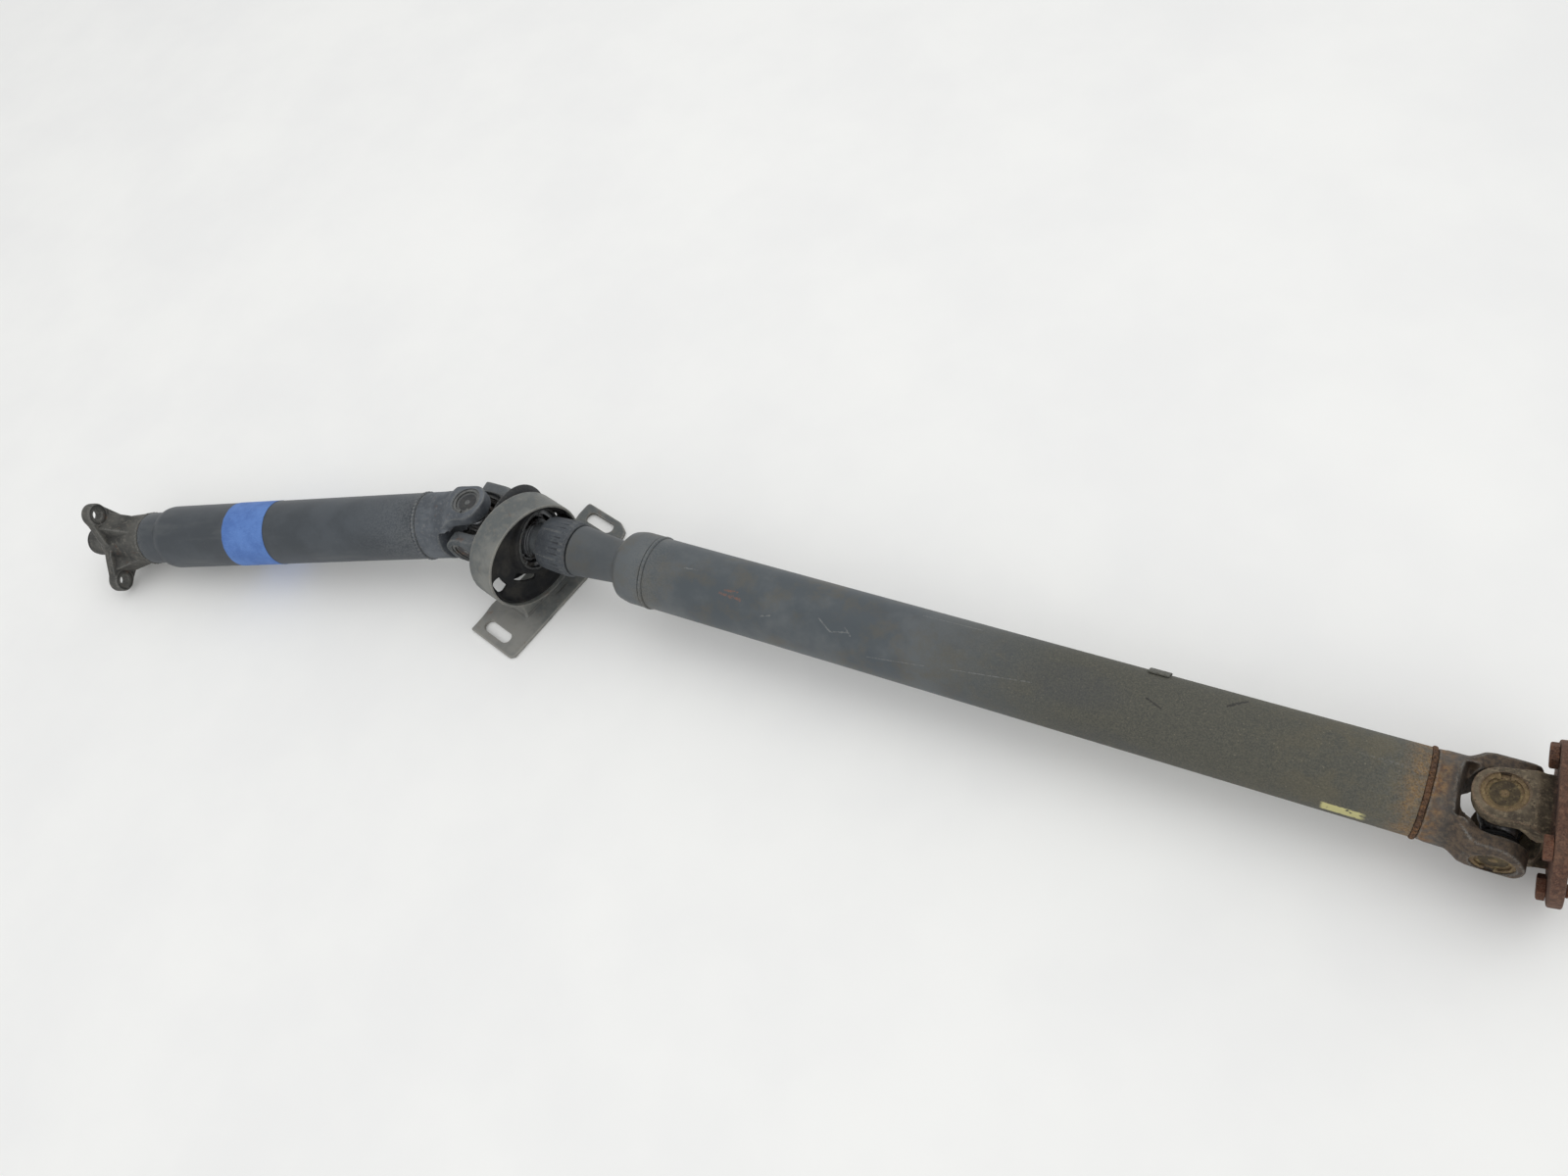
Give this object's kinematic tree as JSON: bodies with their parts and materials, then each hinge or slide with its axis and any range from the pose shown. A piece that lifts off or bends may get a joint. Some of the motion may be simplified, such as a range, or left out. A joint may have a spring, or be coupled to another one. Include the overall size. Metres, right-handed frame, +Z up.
{
  "type": "universal joint shaft",
  "caption": "Two-piece driveline shaft: a short and a long tube with cross joints, a rubber-mounted support bearing in a slotted bracket, and flanges at the ends.",
  "frame": {"origin": "bottom centre of the bounding box of the whole shaft", "axes": "+X along the rear tube towards the rear flange, +Z up out of the bracket plate, +Y to the side away from the bend"},
  "size_m": [1.4176, 0.255, 0.1254],
  "materials": {
    "tube_paint": "worn dark paint, semi-gloss",
    "forged_steel": "dull forged steel with grime",
    "rusty_steel": "rusty forged steel",
    "rusty_weld": "orange rust on a weld bead",
    "bracket_steel": "aged zinc-plated sheet, matt",
    "bright_steel": "machined steel",
    "black_rubber": "matt black rubber",
    "blue_tape": "blue crepe masking tape",
    "bronze": "bronze bush"
  },
  "bodies": {
    "rear_shaft": {"rear_splined_stub": "tube_paint", "rear_step_weld": "tube_paint", "rear_tube": "tube_paint", "rear_weld_bead": "rusty_weld", "balance_plate": "forged_steel", "rear_tube_yoke": "forged_steel", "rear_yoke_cup_left": "forged_steel", "rear_yoke_cup_right": "forged_steel", "rear_yoke_ring_left": "bright_steel", "rear_yoke_ring_right": "bright_steel"},
    "centre_shaft": {"centre_yoke": "forged_steel", "dust_shield": "bracket_steel", "bearing_inner_race": "bright_steel", "bearing_snap_ring": "bright_steel", "centre_yoke_cup_left": "forged_steel", "centre_yoke_cup_right": "forged_steel", "centre_yoke_ring_left": "bright_steel", "centre_yoke_ring_right": "bright_steel"},
    "ball_cage": {"bearing_balls": "bright_steel"},
    "bracket": {"bearing_outer_race": "bright_steel", "bearing_carrier": "bracket_steel", "rubber_mount": "black_rubber", "bracket_hoop": "bracket_steel", "bracket_base": "bracket_steel"},
    "clamp_nut": {"clamp_nut": "forged_steel", "clamp_seal": "black_rubber"},
    "centre_cross": {"centre_cross": "bright_steel", "centre_seal_top": "black_rubber", "centre_seal_bottom": "black_rubber", "centre_seal_left": "black_rubber", "centre_seal_right": "black_rubber"},
    "front_shaft": {"front_tube_yoke": "forged_steel", "front_weld_bead": "forged_steel", "front_tube": "tube_paint", "tape_band": "blue_tape", "front_neck_weld": "forged_steel", "front_spider_flange": "forged_steel", "pilot_bush": "bronze", "pilot_seal": "black_rubber", "front_yoke_cup_top": "forged_steel", "front_yoke_cup_bottom": "forged_steel", "front_yoke_ring_top": "bright_steel", "front_yoke_ring_bottom": "bright_steel"},
    "rear_cross": {"rear_cross": "bright_steel", "rear_seal_top": "black_rubber", "rear_seal_bottom": "black_rubber", "rear_seal_left": "black_rubber", "rear_seal_right": "black_rubber"},
    "rear_flange": {"rear_flange_yoke": "rusty_steel", "flange_yoke_cup_top": "forged_steel", "flange_yoke_cup_bottom": "forged_steel", "flange_yoke_ring_top": "bright_steel", "flange_yoke_ring_bottom": "bright_steel", "flange_bolt_1": "rusty_steel", "flange_bolt_2": "rusty_steel", "flange_bolt_3": "rusty_steel", "flange_bolt_4": "rusty_steel"}
  },
  "joints": [
    {"name": "spline_plunge", "type": "slide", "parent": "rear_shaft", "child": "centre_shaft", "axis": [1, 0, 0], "range_m": [-0.01, 0.0008]},
    {"name": "bearing_turn", "type": "hinge", "parent": "centre_shaft", "child": "bracket", "pos_m": [-0.18026, 0.04753, 0.06372], "axis": [1, 0, 0], "continuous": true},
    {"name": "ball_cage_turn", "type": "hinge", "parent": "centre_shaft", "child": "ball_cage", "pos_m": [-0.18026, 0.04753, 0.06372], "axis": [1, 0, 0], "continuous": true},
    {"name": "clamp_nut_turn", "type": "hinge", "parent": "centre_shaft", "child": "clamp_nut", "pos_m": [-0.14726, 0.04753, 0.06372], "axis": [1, 0, 0], "range_deg": [-180, 180]},
    {"name": "centre_pin_across", "type": "hinge", "parent": "centre_shaft", "child": "centre_cross", "pos_m": [-0.23726, 0.04753, 0.06372], "axis": [0, 1, 0], "range_deg": [-16, 23]},
    {"name": "centre_pin_upright", "type": "hinge", "parent": "centre_cross", "child": "front_shaft", "pos_m": [-0.23726, 0.04753, 0.06372], "axis": [-0.0635, 0, 0.998], "range_deg": [-36, 4]},
    {"name": "rear_pin_across", "type": "hinge", "parent": "rear_shaft", "child": "rear_cross", "pos_m": [0.64474, 0.04753, 0.06372], "axis": [0, 1, 0], "range_deg": [-8, 28]},
    {"name": "rear_pin_upright", "type": "hinge", "parent": "rear_cross", "child": "rear_flange", "pos_m": [0.64474, 0.04753, 0.06372], "axis": [-0.1736, 0, 0.9848], "range_deg": [-22, 12]}
  ],
  "couplings": [
    {"joint": "ball_cage_turn", "follows": "bearing_turn", "ratio": 0.5835}
  ]
}
